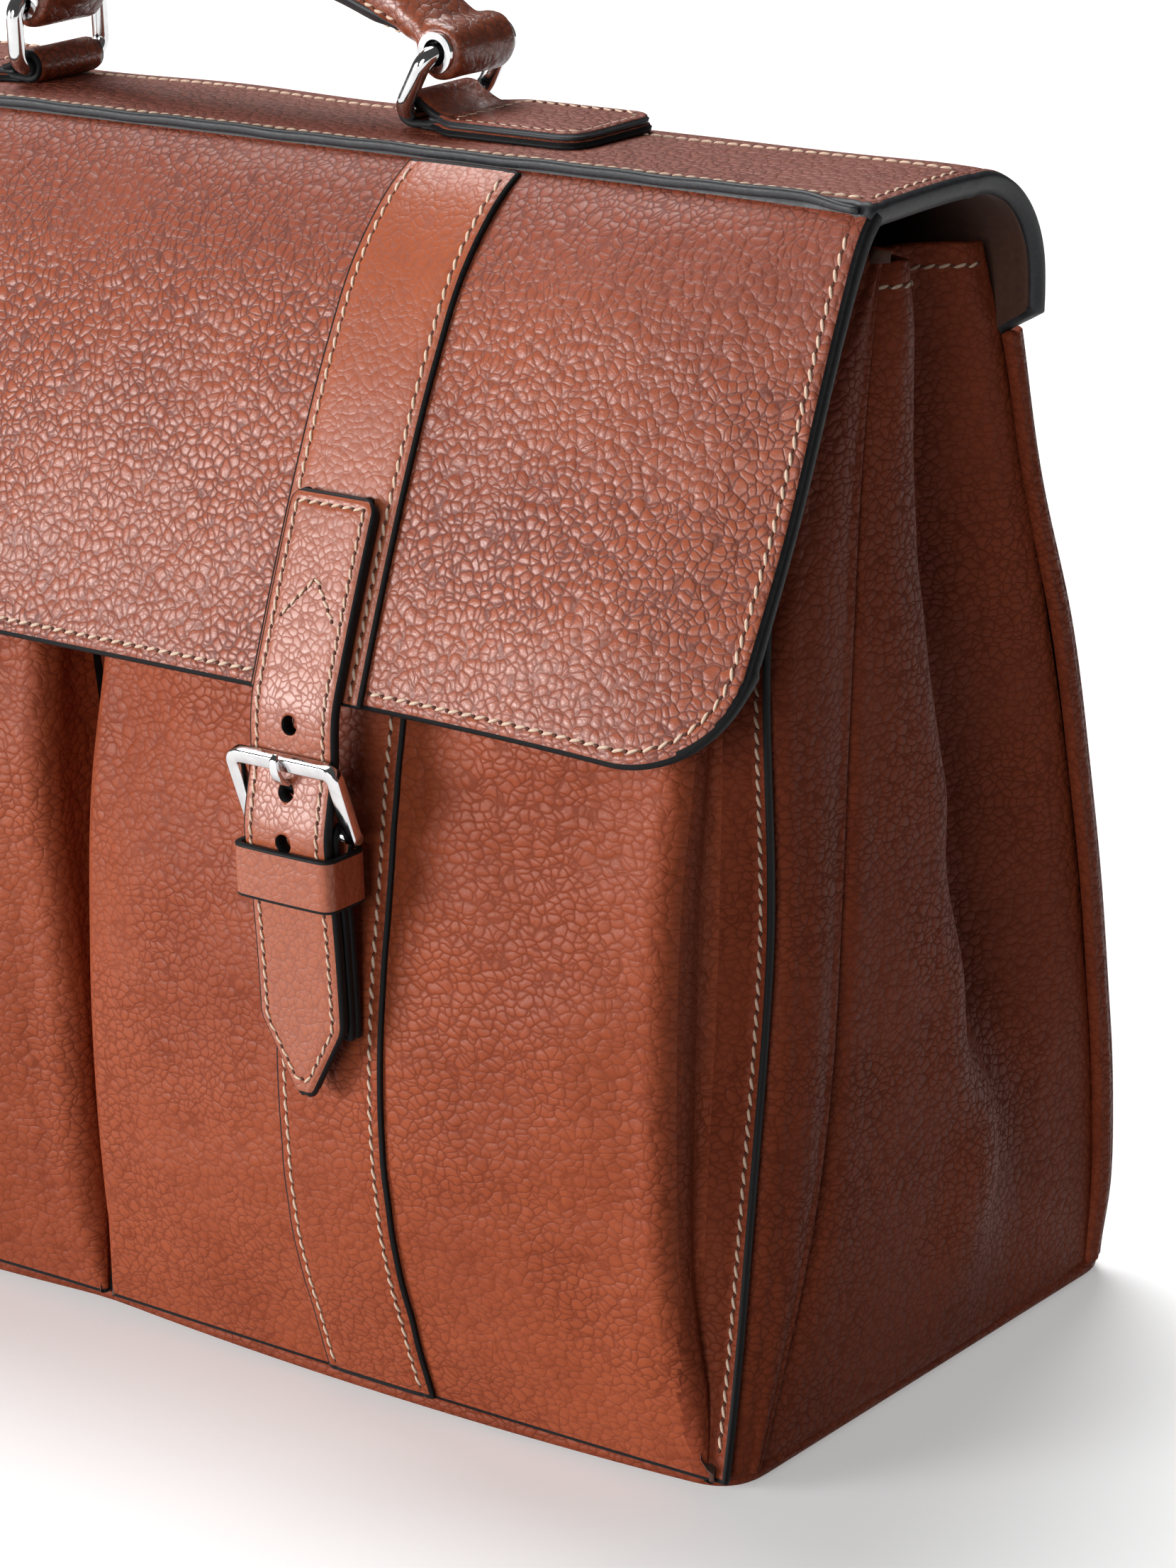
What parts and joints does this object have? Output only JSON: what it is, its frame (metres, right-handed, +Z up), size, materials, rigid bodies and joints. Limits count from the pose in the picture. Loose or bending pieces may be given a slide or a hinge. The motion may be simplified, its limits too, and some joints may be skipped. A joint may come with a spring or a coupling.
{
  "type": "leather briefcase",
  "caption": "Soft leather briefcase with a gusseted body, twin front pockets, a full flap with buckled snap straps, and a rolled carry handle on metal rings.",
  "frame": {"origin": "on the floor, under the middle of the base", "axes": "+X along the bag's length, to the right as seen from the front; the front faces -Y; +Z up"},
  "size_m": [0.42, 0.1984, 0.347],
  "materials": {
    "flap_leather": "pebbled, semi-gloss",
    "body_leather": "pebbled, semi-gloss",
    "strap_leather": "fine grain, semi-gloss",
    "handle_leather": "smooth, glossy",
    "painted_edge": "painted, satin",
    "lining_leather": "suede",
    "stiffener": "matte",
    "core_cord": "woven",
    "polished_metal": "polished"
  },
  "bodies": {
    "bag": {"main_front_panel": "body_leather", "main_back_panel": "body_leather", "gusset_left": "body_leather", "gusset_right": "body_leather", "base_panel": "body_leather", "base_patch": "body_leather", "base_board": "stiffener", "lining_front": "lining_leather", "lining_back": "lining_leather", "pocket_left": "body_leather", "pocket_right": "body_leather", "pocket_flange_left": "body_leather", "pocket_flange_right": "body_leather", "pocket_band_left": "body_leather", "pocket_band_right": "body_leather", "snap_stud_left": "polished_metal", "snap_stud_right": "polished_metal", "flap_tail": "body_leather"},
    "flap": {"flap_front": "flap_leather", "top_panel": "flap_leather", "top_board": "stiffener", "top_lining": "lining_leather", "top_ridge": "painted_edge", "flap_back": "flap_leather", "flap_band_left": "flap_leather", "flap_band_right": "flap_leather", "strap_upper_left": "strap_leather", "strap_upper_right": "strap_leather", "handle_base_left": "strap_leather", "handle_base_right": "strap_leather"},
    "ring_left": {"ring_left": "polished_metal"},
    "ring_right": {"ring_right": "polished_metal"},
    "handle": {"handle_grip": "handle_leather", "handle_end_left": "handle_leather", "handle_end_right": "handle_leather", "handle_core": "core_cord", "handle_edge": "painted_edge", "ferrule_left": "polished_metal", "ferrule_right": "polished_metal"},
    "strap_left": {"strap_lower_left": "strap_leather", "chape_left": "strap_leather", "snap_socket_left": "polished_metal"},
    "keeper_left": {"keeper_left": "strap_leather"},
    "buckle_frame_left": {"buckle_frame_left": "polished_metal"},
    "buckle_tongue_left": {"buckle_tongue_left": "polished_metal"},
    "strap_right": {"strap_lower_right": "strap_leather", "chape_right": "strap_leather", "snap_socket_right": "polished_metal"},
    "keeper_right": {"keeper_right": "strap_leather"},
    "buckle_frame_right": {"buckle_frame_right": "polished_metal"},
    "buckle_tongue_right": {"buckle_tongue_right": "polished_metal"}
  },
  "joints": [
    {"name": "flap_hinge", "type": "hinge", "parent": "bag", "child": "flap", "pos_m": [0, 0.0365, 0.2615], "axis": [-1, 0, 0], "range_deg": [0, 100]},
    {"name": "strap_swing_left", "type": "hinge", "parent": "flap", "child": "strap_left", "pos_m": [-0.097, -0.104, 0.183], "axis": [-1, 0, 0], "range_deg": [0, 75]},
    {"name": "keeper_slide_left", "type": "slide", "parent": "strap_left", "child": "keeper_left", "axis": [0, 0, -1], "range_m": [0, 0.0088]},
    {"name": "buckle_frame_tip_left", "type": "hinge", "parent": "strap_left", "child": "buckle_frame_left", "pos_m": [-0.097, -0.1031, 0.153], "axis": [1, 0, 0], "range_deg": [0, 5]},
    {"name": "buckle_tongue_tip_left", "type": "hinge", "parent": "buckle_frame_left", "child": "buckle_tongue_left", "pos_m": [-0.097, -0.1031, 0.153], "axis": [1, 0, 0], "range_deg": [0, 3]},
    {"name": "strap_swing_right", "type": "hinge", "parent": "flap", "child": "strap_right", "pos_m": [0.097, -0.104, 0.183], "axis": [-1, 0, 0], "range_deg": [0, 75]},
    {"name": "keeper_slide_right", "type": "slide", "parent": "strap_right", "child": "keeper_right", "axis": [0, 0, -1], "range_m": [0, 0.0088]},
    {"name": "buckle_frame_tip_right", "type": "hinge", "parent": "strap_right", "child": "buckle_frame_right", "pos_m": [0.097, -0.1031, 0.153], "axis": [1, 0, 0], "range_deg": [0, 5]},
    {"name": "buckle_tongue_tip_right", "type": "hinge", "parent": "buckle_frame_right", "child": "buckle_tongue_right", "pos_m": [0.097, -0.1031, 0.153], "axis": [1, 0, 0], "range_deg": [0, 3]},
    {"name": "ring_turn_left", "type": "hinge", "parent": "flap", "child": "ring_left", "pos_m": [-0.06325, -0.0025, 0.30265], "axis": [0, 1, 0], "range_deg": [-30.7, 0]},
    {"name": "ring_turn_right", "type": "hinge", "parent": "flap", "child": "ring_right", "pos_m": [0.06325, -0.0025, 0.30265], "axis": [0, 1, 0], "range_deg": [-30.7, 0]},
    {"name": "handle_sway", "type": "hinge", "parent": "ring_left", "child": "handle", "pos_m": [-0.06325, -0.0025, 0.31955], "axis": [0, 1, 0], "range_deg": [0, 29]}
  ],
  "couplings": [
    {"joint": "ring_turn_right", "follows": "ring_turn_left", "ratio": 1},
    {"joint": "handle_sway", "follows": "ring_turn_left", "ratio": -0.9346}
  ]
}
